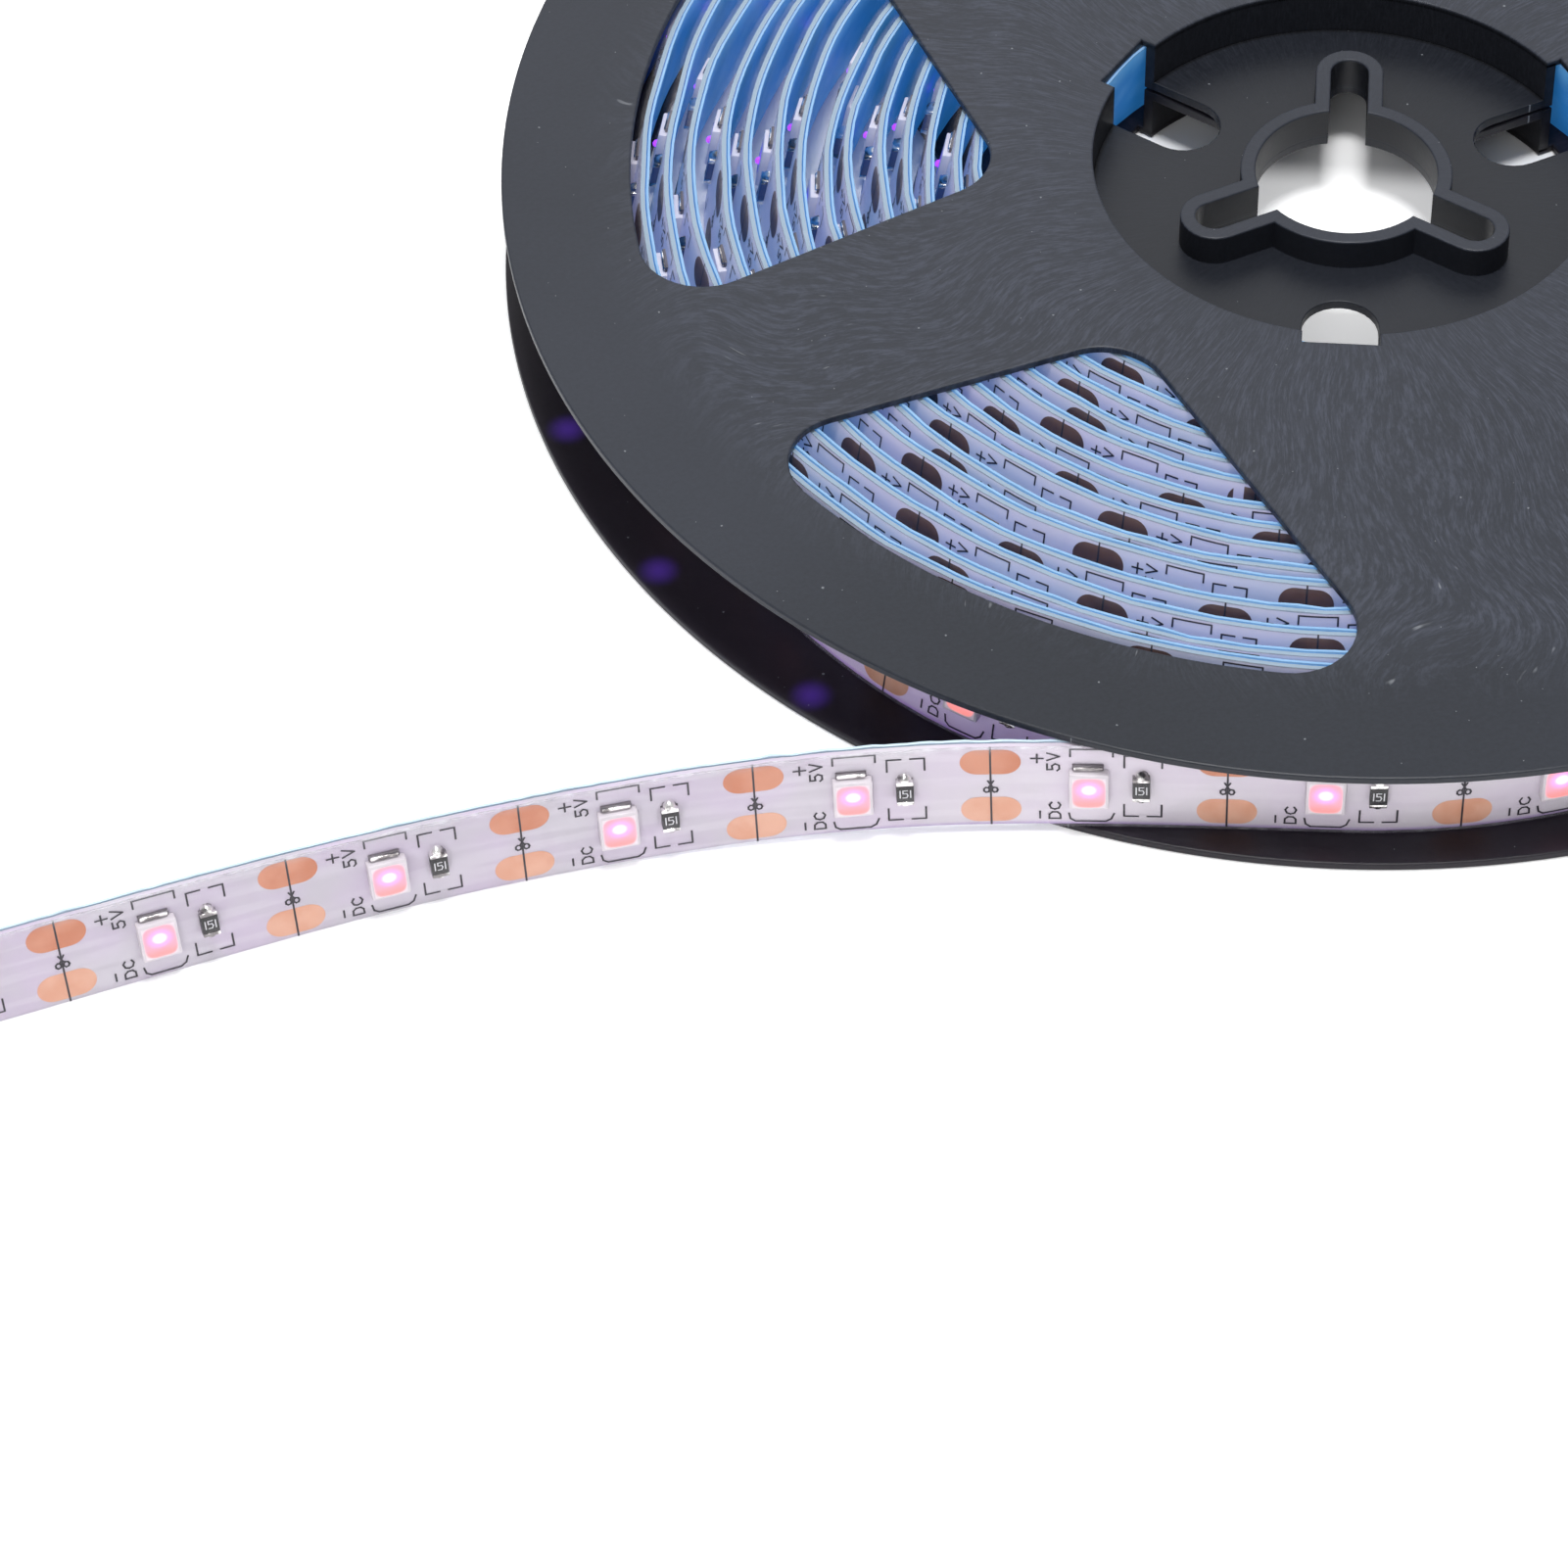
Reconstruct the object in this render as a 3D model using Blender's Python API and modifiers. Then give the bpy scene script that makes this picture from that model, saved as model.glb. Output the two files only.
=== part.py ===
"""LED grow light strip wound on its flanged plastic reel, with the free end led off the reel.

Metres, +Z up. The reel lies flat on its lower flange. Everything is drawn about the reel's own axis
and hung on one empty, which puts the origin at the bottom centre of the whole part.
"""

from math import asin, atan2, ceil, cos, pi, radians, sin, sqrt

import bmesh
import bpy
from mathutils import Matrix, Vector

# The strip: a white flexible board with a clear cast coat on its front, and a peel-off liner behind
strip_width = 0.0080
board_thickness = 0.0003
coat_thickness = 0.0008
liner_thickness = 0.00012
film_gap = 0.0001
liner_inset = 0.00005
strip_length = 5.0
unit_length = 1 / 60

# One cutting unit: where its lamp and its resistor sit, measured from its cut line
lamp_place = 0.0069
lamp_length = 0.0028
lamp_width = 0.0035
lamp_height = 0.00065
lamp_rim = 0.0003
lamp_well_depth = 0.00012
resistor_place = 0.0105
resistor_length = 0.0020
resistor_width = 0.00125
resistor_height = 0.00045
resistor_cap_length = 0.0004
resistor_cap_step = 0.00004
seat_clearance = 0.0001
seated_units = 8

# The reel: two moulded halves that meet at mid height
reel_radius = 0.0642
flange_thickness = 0.00065
rim_bevel = 0.00015
edge_clearance = 0.00012
halves_gap = 0.0003
recess_radius = 0.0193
hub_wall = 0.0008
floor_thickness = 0.0008
bore_radius = 0.0069
keyway_width = 0.0029
keyway_reach = 0.0128
collar_wall = 0.00115
collar_height = 0.0026
collar_fit = 0.00015
hub_slot_width = 0.0058
hub_slot_start = 0.0117
lower_slot_start = 0.0105
hub_slot_overcut = 0.0002
first_keyway_angle = radians(60)
hub_ways = 3

# The four windows in each flange, mirrored about both of the reel's centre lines
outer_ring_width = 0.0098
window_corner = 0.0048
narrow_spoke_half_width = 0.0119
narrow_spoke_taper = radians(4.5)
wide_spoke_half_width = 0.0241
wide_spoke_taper = radians(2.2)

# How the strip is wound and led off
rim_ledge = 0.0024
winding_clearance = 0.0004
leave_angle = radians(241.7)
tail_length = 0.1086
tail_straight_length = 0.0052
tail_bend_length = 0.080
tail_bend = radians(24.0)
tail_drop_margin = 0.004
tail_drop_length = 0.035
tail_lean_start = 0.0567
tail_lean_length = 0.040
tail_lean = radians(4.55)

# How finely the round shapes are stepped
reel_steps = 96
corner_steps = 5
lobe_steps = 8
turn_step = radians(15)
fine_step = 0.0028
fine_wrap = radians(30)
bend_samples = 48
crease_angle = radians(32)
weld_distance = 1e-6

# Sizes that follow from those above
flange_gap = strip_width + 2 * edge_clearance
reel_height = flange_gap + 2 * flange_thickness
half_height = reel_height / 2
recess_depth = half_height - halves_gap / 2 - floor_thickness
hub_radius = recess_radius + hub_wall
window_radius = reel_radius - outer_ring_width
strip_rest = flange_thickness + edge_clearance
outer_face_radius = reel_radius - rim_ledge - coat_thickness
behind_face = board_thickness + film_gap + liner_thickness
inner_face_radius = hub_radius + winding_clearance + behind_face
wound_turns = (strip_length - tail_length) / (pi * (outer_face_radius + inner_face_radius))
turn_pitch = (outer_face_radius - inner_face_radius) / wound_turns
cutter_reach = 0.002
upright = Vector((0, 0, 1))


def clear_scene():
    for item in list(bpy.data.objects):
        bpy.data.objects.remove(item, do_unlink=True)


def new_collection(name):
    collection = bpy.data.collections.new(name)
    bpy.context.scene.collection.children.link(collection)
    return collection


def material(name, colour, roughness, metallic=0.0, glow=0.0):
    made = bpy.data.materials.new(name)
    made.use_nodes = True
    shader = made.node_tree.nodes["Principled BSDF"]
    shader.inputs["Base Color"].default_value = (*colour, 1.0)
    shader.inputs["Roughness"].default_value = roughness
    shader.inputs["Metallic"].default_value = metallic
    shader.inputs["Emission Color"].default_value = (*colour, 1.0)
    shader.inputs["Emission Strength"].default_value = glow
    made.diffuse_color = (*colour, 1.0)
    return made


def add_object(name, mesh, collection):
    item = bpy.data.objects.new(name, mesh)
    collection.objects.link(item)
    return item


def add_cutter(name, mesh):
    cutter = add_object(name, mesh, cutters)
    cutter.hide_render = True
    cutter.display_type = "WIRE"
    cutter.parent = reel_axis
    return cutter


def add_part(name, mesh, finish):
    part = add_object(name, mesh, parts)
    part.data.materials.append(finish)
    part.parent = reel_axis
    return part


def bake(item):
    """Settle an object's shape, with round faces smooth and edges crisp."""
    bpy.context.view_layer.update()
    evaluated = item.evaluated_get(bpy.context.evaluated_depsgraph_get())
    item.data = bpy.data.meshes.new_from_object(evaluated)
    item.modifiers.clear()
    item.data.shade_smooth()
    item.data.set_sharp_from_angle(angle=crease_angle)


def cut(item, cutter, operation="DIFFERENCE"):
    boolean = item.modifiers.new(cutter.name, "BOOLEAN")
    boolean.operation = operation
    boolean.object = cutter
    boolean.solver = "EXACT"


def arc(centre, radius, start, end, steps):
    """Points on an arc from one angle to another, both ends included."""
    return [
        (centre[0] + radius * cos(start + (end - start) * i / steps),
         centre[1] + radius * sin(start + (end - start) * i / steps))
        for i in range(steps + 1)
    ]


def turn_about_axis(points, angle):
    return [(x * cos(angle) - y * sin(angle), x * sin(angle) + y * cos(angle)) for x, y in points]


def plate(name, outlines, bottom, top):
    """A flat plate or cutter of constant height, from closed outlines in plan."""
    curve = bpy.data.curves.new(name, "CURVE")
    curve.dimensions = "2D"
    curve.fill_mode = "BOTH"
    curve.extrude = (top - bottom) / 2
    for outline in outlines:
        spline = curve.splines.new("POLY")
        spline.points.add(len(outline) - 1)
        for point, (x, y) in zip(spline.points, outline):
            point.co = (x, y, 0.0, 1.0)
        spline.use_cyclic_u = True
    drawn = add_object(name, curve, cutters)
    bpy.context.view_layer.update()
    mesh = bpy.data.meshes.new_from_object(drawn.evaluated_get(bpy.context.evaluated_depsgraph_get()))
    bpy.data.objects.remove(drawn)
    mesh.name = name
    shape = bmesh.new()
    shape.from_mesh(mesh)
    bmesh.ops.remove_doubles(shape, verts=shape.verts, dist=weld_distance)
    bmesh.ops.translate(shape, verts=shape.verts, vec=(0, 0, (top + bottom) / 2))
    bmesh.ops.recalc_face_normals(shape, faces=shape.faces)
    shape.to_mesh(mesh)
    shape.free()
    return mesh


def lobed_outline(radius, lobe_width, reach):
    """A circle with round-ended keyways standing out of it, evenly spaced."""
    half = lobe_width / 2
    side = asin(half / radius)
    pitch = 2 * pi / hub_ways
    points = []
    for i in range(hub_ways):
        angle = first_keyway_angle + i * pitch
        end = arc((reach - half, 0.0), half, -pi / 2, pi / 2, lobe_steps)
        points += turn_about_axis(end, angle)
        points += arc((0.0, 0.0), radius, angle + side, angle + pitch - side, 2 * lobe_steps)
    return points


def hub_slots(start):
    """Slots in the hub floor, round at their inner ends, that run out through the hub wall."""
    half = hub_slot_width / 2
    end = hub_radius + hub_slot_overcut
    inner = arc((start + half, 0.0), half, pi / 2, 3 * pi / 2, lobe_steps)
    outline = inner + [(end, -half), (end, half)]
    pitch = 2 * pi / hub_ways
    return [turn_about_axis(outline, first_keyway_angle + (i + 0.5) * pitch) for i in range(hub_ways)]


def window_outline():
    """The window between a narrow spoke along X and a wide spoke along Y, in the first quadrant.

    Its near side runs along the narrow spoke and its far side along the wide one. Each side is known
    by its distance from the axis and its direction, and the corners are rounded by tangent arcs.
    """
    corner = window_corner
    ring = window_radius - corner
    near_turn = -narrow_spoke_taper
    far_turn = pi / 2 + wide_spoke_taper
    near_offset = narrow_spoke_half_width + corner
    far_offset = wide_spoke_half_width + corner
    near_normal = Vector((-sin(near_turn), cos(near_turn)))
    far_normal = Vector((sin(far_turn), -cos(far_turn)))
    near_along = Vector((cos(near_turn), sin(near_turn)))
    far_along = Vector((cos(far_turn), sin(far_turn)))
    near_centre = near_normal * near_offset + near_along * sqrt(ring ** 2 - near_offset ** 2)
    far_centre = far_normal * far_offset + far_along * sqrt(ring ** 2 - far_offset ** 2)
    cross = near_normal.x * far_normal.y - near_normal.y * far_normal.x
    inner_centre = Vector((
        (near_offset * far_normal.y - far_offset * near_normal.y) / cross,
        (far_offset * near_normal.x - near_offset * far_normal.x) / cross,
    ))
    near_bearing = atan2(near_centre.y, near_centre.x)
    far_bearing = atan2(far_centre.y, far_centre.x)
    points = arc(near_centre, corner, near_turn - pi / 2, near_bearing, corner_steps)
    points += arc((0.0, 0.0), window_radius, near_bearing, far_bearing, 2 * corner_steps)[1:-1]
    points += arc(far_centre, corner, far_bearing, far_turn + pi / 2, corner_steps)
    points += arc(inner_centre, corner, far_turn + pi / 2, near_turn + 3 * pi / 2, corner_steps)
    return points


def all_windows():
    first = window_outline()
    return [[(x * across, y * along) for x, y in first] for across in (1, -1) for along in (1, -1)]


def reel_profile():
    """Half section of the upper reel half: a thin flange, the hub wall and the hub floor."""
    top = reel_height
    under_flange = top - flange_thickness
    floor_top = top - recess_depth
    floor_under = half_height + halves_gap / 2
    return [
        (recess_radius, top),
        (reel_radius - rim_bevel, top),
        (reel_radius, top - rim_bevel),
        (reel_radius, under_flange + rim_bevel),
        (reel_radius - rim_bevel, under_flange),
        (hub_radius, under_flange),
        (hub_radius, floor_under),
        (bore_radius / 2, floor_under),
        (bore_radius / 2, floor_top),
        (recess_radius, floor_top),
    ]


def turned(name, profile):
    mesh = bpy.data.meshes.new(name)
    count = len(profile)
    mesh.from_pydata([(r, 0.0, z) for r, z in profile], [(i, (i + 1) % count) for i in range(count)], [])
    part = add_part(name, mesh, black_plastic(name))
    screw = part.modifiers.new("Turn", "SCREW")
    screw.axis = "Z"
    screw.angle = 2 * pi
    screw.steps = reel_steps
    screw.render_steps = reel_steps
    screw.use_merge_vertices = True
    screw.merge_threshold = weld_distance
    return part


def black_plastic(name):
    return material(name + "_black_plastic", (0.060, 0.066, 0.075), 0.42)


def make_reel_halves():
    """Two halves with the same flange. Only the upper one has the keyed collar round the bore, which
    is centred over the matching lobed hole of the lower one. The lower one's slots reach further in."""
    low = -cutter_reach
    high = reel_height + cutter_reach
    floor_top = reel_height - recess_depth
    bore = lobed_outline(bore_radius, keyway_width, keyway_reach)
    collar = lobed_outline(bore_radius + collar_wall, keyway_width + 2 * collar_wall,
                           keyway_reach + collar_wall)
    spread = collar_wall + collar_fit
    lower_hole = lobed_outline(bore_radius + spread, keyway_width + 2 * spread, keyway_reach + spread)

    windows_cutter = add_cutter("windows_cutter", plate("windows_cutter", all_windows(), low, high))
    upper_slots = add_cutter("upper_slots", plate("upper_slots", hub_slots(hub_slot_start), low, high))
    lower_slots = add_cutter("lower_slots", plate("lower_slots", hub_slots(lower_slot_start), low, high))
    bore_cutter = add_cutter("bore_cutter", plate("bore_cutter", [bore], low, high))
    hole_cutter = add_cutter("hole_cutter", plate("hole_cutter", [lower_hole], low, high))
    collar_blank = add_cutter("collar_blank", plate("collar_blank", [collar],
                                                    floor_top - floor_thickness / 2,
                                                    floor_top + collar_height))

    upper = turned("upper_reel_half", reel_profile())
    cut(upper, collar_blank, "UNION")
    cut(upper, bore_cutter)
    cut(upper, upper_slots)
    cut(upper, windows_cutter)
    bake(upper)

    lower = turned("lower_reel_half", reel_profile())
    cut(lower, hole_cutter)
    cut(lower, lower_slots)
    cut(lower, windows_cutter)
    bake(lower)
    lower.data.transform(Matrix.Translation((0, 0, reel_height)) @ Matrix.Scale(-1, 4, (0, 0, 1)))
    lower.data.flip_normals()


def smooth_ramp(value):
    t = min(max(value, 0.0), 1.0)
    return t * t * (3 - 2 * t)


def tail_place(distance):
    """Where the board's face is after a distance along the free end, and which way it heads."""
    x = outer_face_radius * cos(leave_angle)
    y = outer_face_radius * sin(leave_angle)
    step = distance / bend_samples
    for i in range(bend_samples):
        heading = tail_heading((i + 0.5) * step)
        x += cos(heading) * step
        y += sin(heading) * step
    return x, y, tail_heading(distance)


def tail_heading(distance):
    return leave_angle - pi / 2 + tail_bend * smooth_ramp((distance - tail_straight_length) / tail_bend_length)


def tail_bottom(distance):
    """The strip's lower edge, which leaves the flange and comes down to the surface."""
    inner_side = outer_face_radius - behind_face
    clear_of_rim = sqrt(reel_radius ** 2 - inner_side ** 2) + tail_drop_margin
    return strip_rest * (1 - smooth_ramp((distance - clear_of_rim) / tail_drop_length))


def strip_place(travel):
    """Foot of the board's face, direction of travel, outward normal and direction up the board.

    Travel is measured from the free end of the strip, so it runs along the tail and then round
    and round the reel, inwards. Towards its free end the tail leans back.
    """
    if travel <= tail_length:
        left = tail_length - travel
        x, y, heading = tail_place(left)
        lean = tail_lean * smooth_ramp((left - tail_lean_start) / tail_lean_length)
        forward = Vector((-cos(heading), -sin(heading), 0.0))
        level = Vector((-sin(heading), cos(heading), 0.0))
        outward = level * cos(lean) + upright * sin(lean)
        upward = upright * cos(lean) - level * sin(lean)
        return Vector((x, y, tail_bottom(left) + behind_face * sin(lean))), forward, outward, upward
    return spiral_place((travel - tail_length) / outer_face_radius)


def spiral_place(turned_by):
    radius = outer_face_radius - turn_pitch * turned_by / (2 * pi)
    angle = leave_angle + turned_by
    outward = Vector((cos(angle), sin(angle), 0.0))
    forward = Vector((-sin(angle), cos(angle), 0.0))
    return outward * radius + upright * strip_rest, forward, outward, upright


def strip_path():
    """Every point at which the strip is stepped, from its free end to the hub."""
    tail_steps = ceil(tail_length / fine_step)
    places = [strip_place(tail_length * i / tail_steps) for i in range(tail_steps)]
    fine_steps = ceil(fine_wrap * outer_face_radius / fine_step)
    places += [spiral_place(fine_wrap * i / fine_steps) for i in range(fine_steps)]
    whole_angle = 2 * pi * wound_turns - fine_wrap
    turn_steps = ceil(whole_angle / turn_step)
    places += [spiral_place(fine_wrap + whole_angle * i / turn_steps) for i in range(turn_steps + 1)]
    return places


def ribbon(name, offset, thickness, inset, outwards, finish):
    """A band of even thickness that stands on edge along the path."""
    band = bmesh.new()
    pairs = [[band.verts.new(place + outward * offset + upward * rise) for rise in (inset, strip_width - inset)]
             for place, forward, outward, upward in strip_path()]
    for (foot, head), (next_foot, next_head) in zip(pairs, pairs[1:]):
        band.faces.new((foot, next_foot, next_head, head))
    faces_out(band)
    mesh = bpy.data.meshes.new(name)
    band.to_mesh(mesh)
    band.free()
    part = add_part(name, mesh, finish)
    solidify = part.modifiers.new("Thickness", "SOLIDIFY")
    solidify.thickness = thickness
    solidify.offset = 1 if outwards else -1
    solidify.use_even_offset = True
    return part


def faces_out(band):
    """Turn the band's faces so that each one looks away from the reel."""
    place, forward, outward, upward = strip_place(0.0)
    bmesh.ops.recalc_face_normals(band, faces=band.faces)
    first = min(band.faces, key=lambda face: (face.calc_center_median() - place).length)
    first.normal_update()
    if first.normal.dot(outward) < 0:
        bmesh.ops.reverse_faces(band, faces=band.faces)


def seat_matrix(travel):
    """The seat of a component on the board's face: X along the strip, Y up it and Z outwards."""
    place, forward, outward, upward = strip_place(travel)
    seat = Matrix((forward, upward, outward)).transposed().to_4x4()
    seat.translation = place + upward * (strip_width / 2)
    return seat


def unit_seats(offset):
    return [seat_matrix(unit * unit_length + offset) for unit in range(seated_units)]


def pocket_mesh():
    """Pockets in the coat, down to the board, for each component that is its own piece."""
    depth = coat_thickness + cutter_reach
    shape = bmesh.new()
    for offset, length, width in ((lamp_place, lamp_length, lamp_width),
                                  (resistor_place, resistor_width, resistor_length)):
        size = Vector((length + 2 * seat_clearance, width + 2 * seat_clearance, depth))
        for seat in unit_seats(offset):
            box = bmesh.ops.create_cube(shape, size=1.0)["verts"]
            bmesh.ops.scale(shape, vec=size, verts=box)
            bmesh.ops.translate(shape, vec=(0, 0, depth / 2), verts=box)
            bmesh.ops.transform(shape, matrix=seat, verts=box)
    mesh = bpy.data.meshes.new("pocket_cutter")
    shape.to_mesh(mesh)
    shape.free()
    return mesh


def make_strip():
    board_back = -board_thickness
    strip = ribbon("led_strip", board_back, board_thickness + coat_thickness, 0.0, True,
                   material("coated_white_board", (0.72, 0.68, 0.78), 0.3))
    bake(strip)
    cut(strip, add_cutter("pocket_cutter", pocket_mesh()))
    bake(strip)
    liner = ribbon("release_liner", board_back - film_gap, liner_thickness, liner_inset, False,
                   material("blue_release_liner", (0.24, 0.55, 0.80), 0.55))
    bake(liner)


def lamp_mesh():
    """A lamp package: a square white body with a shallow lit well in its face."""
    shape = bmesh.new()
    bmesh.ops.create_cube(shape, size=1.0)
    bmesh.ops.scale(shape, vec=(lamp_length, lamp_width, lamp_height), verts=shape.verts)
    bmesh.ops.translate(shape, vec=(0, 0, seat_clearance + lamp_height / 2), verts=shape.verts)
    face = max(shape.faces, key=lambda side: side.calc_center_median().z)
    bmesh.ops.inset_region(shape, faces=[face], thickness=lamp_rim)
    bmesh.ops.translate(shape, vec=(0, 0, -lamp_well_depth), verts=face.verts)
    mesh = bpy.data.meshes.new("lamp_package")
    shape.to_mesh(mesh)
    shape.free()
    return mesh


def resistor_mesh():
    """A chip resistor on its long side section: a body with a thicker cap at each end."""
    end = resistor_length / 2
    cap = end - resistor_cap_length
    low = seat_clearance
    high = low + resistor_height
    step = resistor_cap_step
    section = [(-end, low), (end, low), (end, high + step), (cap, high + step), (cap, high),
               (-cap, high), (-cap, high + step), (-end, high + step)]
    mesh = plate("chip_resistor", [section], -resistor_width / 2, resistor_width / 2)
    mesh.transform(Matrix(((0, 0, 1, 0), (1, 0, 0, 0), (0, 1, 0, 0), (0, 0, 0, 1))))
    return mesh


def make_components():
    lamp = lamp_mesh()
    resistor = resistor_mesh()
    for kind, mesh, offset in (("lamp", lamp, lamp_place), ("resistor", resistor, resistor_place)):
        for number, seat in enumerate(unit_seats(offset), start=1):
            name = f"{kind}_{number}"
            finish = (material(name + "_lit_white", (1.0, 0.45, 0.62), 0.35, glow=1.0) if kind == "lamp"
                      else material(name + "_black_ceramic", (0.03, 0.03, 0.035), 0.3))
            part = add_part(name, mesh.copy(), finish)
            part.matrix_local = seat


def part_centre():
    """Half way along X between the reel's rim and the end of the tail."""
    place, forward, outward, upward = strip_place(0.0)
    tail_end = min((place + outward * shift + upward * rise).x
                   for shift in (coat_thickness, -behind_face) for rise in (0.0, strip_width))
    return (reel_radius + tail_end) / 2


clear_scene()
parts = new_collection("led_grow_light_strip")
cutters = new_collection("cutters")
reel_axis = bpy.data.objects.new("reel_axis", None)
parts.objects.link(reel_axis)
reel_axis.location = (-part_centre(), 0.0, 0.0)
make_reel_halves()
make_strip()
make_components()
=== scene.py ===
from math import asin, atan2, ceil, cos, pi, radians, sin, sqrt

import bmesh
import bpy
import numpy as np
from mathutils import Matrix, Vector, noise


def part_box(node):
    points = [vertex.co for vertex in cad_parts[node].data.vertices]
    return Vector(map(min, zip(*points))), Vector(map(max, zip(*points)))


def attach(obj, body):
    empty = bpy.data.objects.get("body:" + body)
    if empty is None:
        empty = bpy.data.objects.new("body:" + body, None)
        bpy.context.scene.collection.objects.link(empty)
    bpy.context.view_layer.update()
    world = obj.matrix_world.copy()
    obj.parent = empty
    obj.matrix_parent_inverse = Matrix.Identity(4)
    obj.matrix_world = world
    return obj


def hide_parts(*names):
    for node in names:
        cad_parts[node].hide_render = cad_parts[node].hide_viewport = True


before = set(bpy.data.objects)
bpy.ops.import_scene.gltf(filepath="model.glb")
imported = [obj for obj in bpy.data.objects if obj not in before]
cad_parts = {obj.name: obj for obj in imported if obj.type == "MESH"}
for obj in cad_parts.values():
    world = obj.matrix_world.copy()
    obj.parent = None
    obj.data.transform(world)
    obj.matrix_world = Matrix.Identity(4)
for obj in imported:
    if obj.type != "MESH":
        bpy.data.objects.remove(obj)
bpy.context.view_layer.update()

mm, toMm = 0.001, 1000    # Object coordinates and UV maps are in metres
boxLow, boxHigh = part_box("upper_reel_half")
axisX = (boxLow.x + boxHigh.x) / 2 / mm    # where the reel's axis stands


# Adds one node: its settings first, then a value or a link for each socket.
def addNode(tree, kind, settings, sockets):
    node = tree.nodes.new("ShaderNode" + kind)
    for name, value in settings.items():
        setattr(node, name, value)
    for key, value in sockets.items():
        if isinstance(value, Wire):
            tree.links.new(value.socket, node.inputs[key])
        else:
            node.inputs[key].default_value = value
    return node


# A socket that can be added, multiplied and so on.
class Wire:
    def __init__(self, tree, socket):
        self.tree = tree
        self.socket = socket

    def math(self, kind, *values):
        node = addNode(self.tree, "Math", {"operation": kind}, dict(enumerate(values)))
        return Wire(self.tree, node.outputs[0])

    def __add__(self, other):
        return self.math("ADD", self, other)

    def __radd__(self, other):
        return self.math("ADD", other, self)

    def __sub__(self, other):
        return self.math("SUBTRACT", self, other)

    def __rsub__(self, other):
        return self.math("SUBTRACT", other, self)

    def __mul__(self, other):
        return self.math("MULTIPLY", self, other)

    def __truediv__(self, other):
        return self.math("DIVIDE", self, other)

    def __pow__(self, other):
        return self.math("POWER", self, other)

    def most(self, other):
        return self.math("MAXIMUM", self, other)

    def least(self, other):
        return self.math("MINIMUM", self, other)

    # From 0 at low to 1 at high, smoothly. It falls instead where high is the smaller one.
    def step(self, low, high):
        settings = {"interpolation_type": "SMOOTHSTEP"}
        node = addNode(self.tree, "MapRange", settings, {0: self, 1: low, 2: high})
        return Wire(self.tree, node.outputs[0])


# One procedural material round a Principled shader, whose even values are the constants.
class Finish:
    def __init__(self, name, constants):
        self.material = bpy.data.materials.new(name)
        self.material.use_nodes = True
        self.tree = self.material.node_tree
        self.shader = self.tree.nodes["Principled BSDF"]
        for label, value in constants.items():
            self.shader.inputs[label].default_value = value

    def node(self, kind, settings, sockets, output=0):
        return Wire(self.tree, addNode(self.tree, kind, settings, sockets).outputs[output])

    def coords(self, kind="Object"):
        return self.node("TexCoord", {}, {}, kind)

    def attribute(self, name):
        return self.node("Attribute", {"attribute_name": name}, {}, "Fac")

    def parts(self, vector):
        node = addNode(self.tree, "SeparateXYZ", {}, {0: vector})
        return [Wire(self.tree, output) for output in node.outputs]

    def join(self, x, y, z=0.0):
        return self.node("CombineXYZ", {}, {0: x, 1: y, 2: z})

    def noise(self, vector, scale, detail=2.0, rough=0.5):
        sockets = {"Vector": vector, "Scale": scale, "Detail": detail, "Roughness": rough}
        return self.node("TexNoise", {}, sockets, "Fac")

    def mix(self, factor, first, second):
        first, second = ((*tone, 1.0) if isinstance(tone, tuple) else tone for tone in (first, second))
        return self.node("Mix", {"data_type": "RGBA"}, {0: factor, 6: first, 7: second}, 2)

    def set(self, label, value):
        self.tree.links.new(value.socket, self.shader.inputs[label])

    def bump(self, height, strength, depth):
        sockets = {"Strength": strength, "Distance": depth, "Height": height}
        self.set("Normal", self.node("Bump", {}, sockets))


def srgb(r, g, b):
    return tuple(((c / 255 + 0.055) / 1.055) ** 2.4 if c > 10 else c / 255 / 12.92 for c in (r, g, b))


# Points in mm from the reel's axis, made into one piece whose object is at the origin.
def meshPiece(name, points, faces, finish, uv=None, values=None, sharp=32):
    mesh = bpy.data.meshes.new(name)
    shifted = (np.asarray(points, float) + (axisX, 0.0, 0.0)) * mm
    mesh.from_pydata(shifted.tolist(), [], [list(map(int, face)) for face in faces])
    if uv is not None:
        layer = mesh.uv_layers.new(name="UVMap")
        corner = np.zeros(len(mesh.loops), np.int32)
        mesh.loops.foreach_get("vertex_index", corner)
        layer.data.foreach_set("uv", np.asarray(uv, np.float32)[corner].ravel())
    if values is not None:
        layer = mesh.attributes.new("milk", "FLOAT", "POINT")
        layer.data.foreach_set("value", np.asarray(values, np.float32))
    mesh.shade_smooth()
    mesh.set_sharp_from_angle(angle=radians(sharp))
    mesh.materials.append(finish.material)
    item = bpy.data.objects.new(name, mesh)
    bpy.context.scene.collection.objects.link(item)
    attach(item, "root")
    return item


def arcPoints(centre, radius, start, end, steps):
    return [(centre[0] + radius * cos(start + (end - start) * i / steps),
             centre[1] + radius * sin(start + (end - start) * i / steps)) for i in range(steps + 1)]


def turnPoints(points, angle):
    return [(x * cos(angle) - y * sin(angle), x * sin(angle) + y * cos(angle)) for x, y in points]


weldGap = 0.0005    # mm: corners that are closer than this become one


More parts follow.
